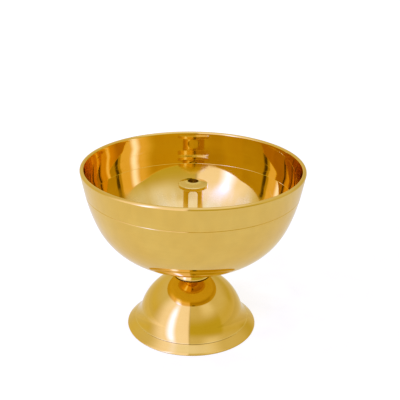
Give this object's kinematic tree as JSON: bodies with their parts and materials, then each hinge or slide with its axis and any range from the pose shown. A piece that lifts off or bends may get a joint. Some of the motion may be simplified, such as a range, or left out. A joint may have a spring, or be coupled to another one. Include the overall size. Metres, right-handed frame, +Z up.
{
  "type": "pedestal oil lamp bowl",
  "caption": "Round polished bowl on a short tapered neck and a hollow flared foot, with a slotted wick holder screwed into the neck through the middle of the bowl.",
  "frame": {"origin": "centre of the foot's flat resting ring, on the common axis", "axes": "+Z up along the axis of every turned piece; +Y and -Y look through the slot in the wick holder"},
  "size_m": [0.127, 0.127, 0.1015],
  "materials": {
    "bowl_brass": "polished, fine turning marks",
    "foot_brass": "polished, fine turning marks",
    "neck_brass": "turned",
    "holder_brass": "turned, satin",
    "fastener_steel": "plated",
    "fibre": "matt vulcanised fibre"
  },
  "bodies": {
    "stand": {"foot": "foot_brass", "foot_screw": "fastener_steel", "spring_washer": "fastener_steel", "plain_washer": "fastener_steel", "jam_nut": "fastener_steel"},
    "bowl_lifter": {"crown_washer": "fibre"},
    "bowl_unit": {"bowl": "bowl_brass", "neck_collar": "neck_brass", "bowl_seal": "fibre"},
    "holder_lifter": {"holder_seal": "fibre"},
    "holder_unit": {"wick_holder": "holder_brass"}
  },
  "joints": [
    {"name": "bowl_lift", "type": "slide", "parent": "stand", "child": "bowl_lifter", "axis": [0, 0, 1], "range_m": [0, 0.0036]},
    {"name": "bowl_turn", "type": "hinge", "parent": "bowl_lifter", "child": "bowl_unit", "pos_m": [0, 0, 0.0329], "axis": [0, 0, 1], "range_deg": [0, 1621]},
    {"name": "holder_lift", "type": "slide", "parent": "bowl_unit", "child": "holder_lifter", "axis": [0, 0, 1], "range_m": [0, 0.00384]},
    {"name": "holder_turn", "type": "hinge", "parent": "holder_lifter", "child": "holder_unit", "pos_m": [0, 0, 0.0472], "axis": [0, 0, 1], "range_deg": [0, 1729]}
  ],
  "couplings": [
    {"joint": "bowl_turn", "follows": "bowl_lift", "rad_per_m": 7854},
    {"joint": "holder_turn", "follows": "holder_lift", "rad_per_m": 7854}
  ]
}
